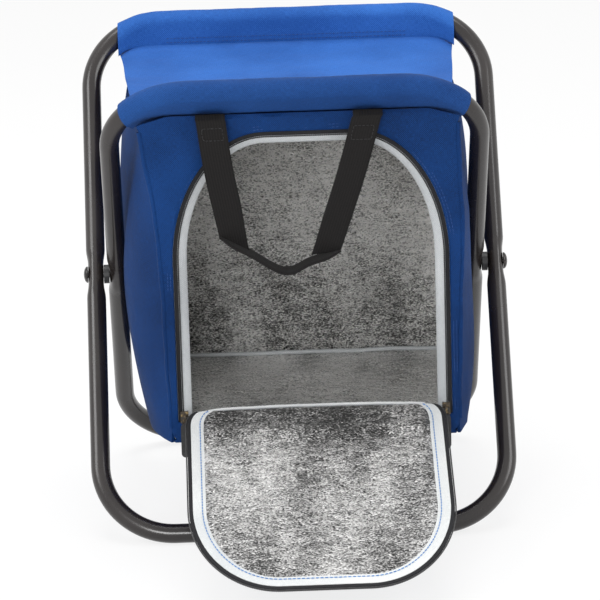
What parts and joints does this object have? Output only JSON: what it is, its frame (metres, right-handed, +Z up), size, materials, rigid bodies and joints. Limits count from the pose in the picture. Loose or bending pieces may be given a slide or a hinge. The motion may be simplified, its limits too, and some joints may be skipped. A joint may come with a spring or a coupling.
{
  "type": "folding cooler stool",
  "caption": "Folding stool of two crossed tube loops with a cloth sling seat and an insulated bag below it, its arched zip door let down",
  "frame": {"origin": "on the floor, under the middle of the stool's footprint with its door let down", "axes": "+Z up, -Y towards the front with the door, +X to the right as seen from the front"},
  "size_m": [0.3586, 0.5029, 0.3904],
  "materials": {
    "frame_paint": "gloss black-brown paint on steel tube",
    "rivet_steel": "blackened domed steel rivet",
    "spacer_nylon": "black nylon washer",
    "blue_cloth": "plain-weave coated polyester in royal blue",
    "foil_lining": "crinkled aluminised film on thin foam",
    "white_binding": "white coated cloth binding with blue thread",
    "zip_tape": "black woven zip tape",
    "zip_teeth": "black nylon coil",
    "slider_metal": "dark plated zip slider, brassy where worn",
    "black_webbing": "black polypropylene webbing"
  },
  "bodies": {
    "outer_frame": {"outer_loop": "frame_paint", "pivot_rivet_left": "rivet_steel", "pivot_rivet_right": "rivet_steel", "pivot_spacer_left": "spacer_nylon", "pivot_spacer_right": "spacer_nylon", "rear_sleeve": "blue_cloth", "seat_sling": "blue_cloth"},
    "inner_frame": {"inner_loop": "frame_paint", "front_sleeve": "blue_cloth"},
    "bag_front": {"bag_front_panel": "blue_cloth", "zip_tape_body": "zip_tape", "zip_teeth_body": "zip_teeth", "opening_facing": "white_binding", "bag_side_left": "blue_cloth", "bag_side_right": "blue_cloth", "bag_floor": "blue_cloth", "bag_top": "blue_cloth", "lining_side_left": "foil_lining", "lining_side_right": "foil_lining", "lining_floor": "foil_lining", "lining_top": "foil_lining"},
    "bag_back": {"bag_back_panel": "blue_cloth", "lining_back": "foil_lining"},
    "door": {"door_shell": "blue_cloth", "door_lining": "foil_lining", "door_binding": "white_binding", "zip_tape_door": "zip_tape", "zip_teeth_door": "zip_teeth"},
    "handle": {"carry_handle": "black_webbing"},
    "slider_left": {"zip_slider_left": "slider_metal"},
    "slider_right": {"zip_slider_right": "slider_metal"},
    "pull_left": {"zip_pull_left": "black_webbing"},
    "pull_right": {"zip_pull_right": "black_webbing"}
  },
  "joints": [
    {"name": "fold", "type": "hinge", "parent": "outer_frame", "child": "inner_frame", "pos_m": [0, 0.10116, 0.194], "axis": [-1, 0, 0], "range_deg": [0, 68.5], "deforming": ["seat_sling", "bag_side_left", "bag_side_right", "bag_floor", "bag_top", "lining_side_left", "lining_side_right", "lining_floor", "lining_top"]},
    {"name": "front_hang", "type": "hinge", "parent": "inner_frame", "child": "bag_front", "pos_m": [0, -0.03084, 0.362], "axis": [1, 0, 0], "range_deg": [0, 34.25]},
    {"name": "back_hang", "type": "hinge", "parent": "outer_frame", "child": "bag_back", "pos_m": [0, 0.23316, 0.362], "axis": [-1, 0, 0], "range_deg": [0, 29.04]},
    {"name": "door_swing", "type": "hinge", "parent": "bag_front", "child": "door", "pos_m": [0.01, -0.03484, 0.109], "axis": [-1, 0, 0], "range_deg": [0, 110.7]},
    {"name": "handle_swing", "type": "hinge", "parent": "bag_front", "child": "handle", "pos_m": [-0.005, -0.04334, 0.361], "axis": [-1, 0, 0], "range_deg": [0, 150]},
    {"name": "slider_left_run", "type": "slide", "parent": "bag_front", "child": "slider_left", "axis": [0, 0, 1], "range_m": [0, 0.125]},
    {"name": "pull_left_swing", "type": "hinge", "parent": "slider_left", "child": "pull_left", "pos_m": [-0.0975, -0.03729, 0.107], "axis": [-1, 0, 0], "range_deg": [0, 65]},
    {"name": "slider_right_run", "type": "slide", "parent": "bag_front", "child": "slider_right", "axis": [0, 0, 1], "range_m": [0, 0.125]},
    {"name": "pull_right_swing", "type": "hinge", "parent": "slider_right", "child": "pull_right", "pos_m": [0.1175, -0.03729, 0.107], "axis": [-1, 0, 0], "range_deg": [0, 65]}
  ],
  "couplings": [
    {"joint": "front_hang", "follows": "fold", "ratio": 0.5},
    {"joint": "back_hang", "follows": "fold", "ratio": 0.424}
  ]
}
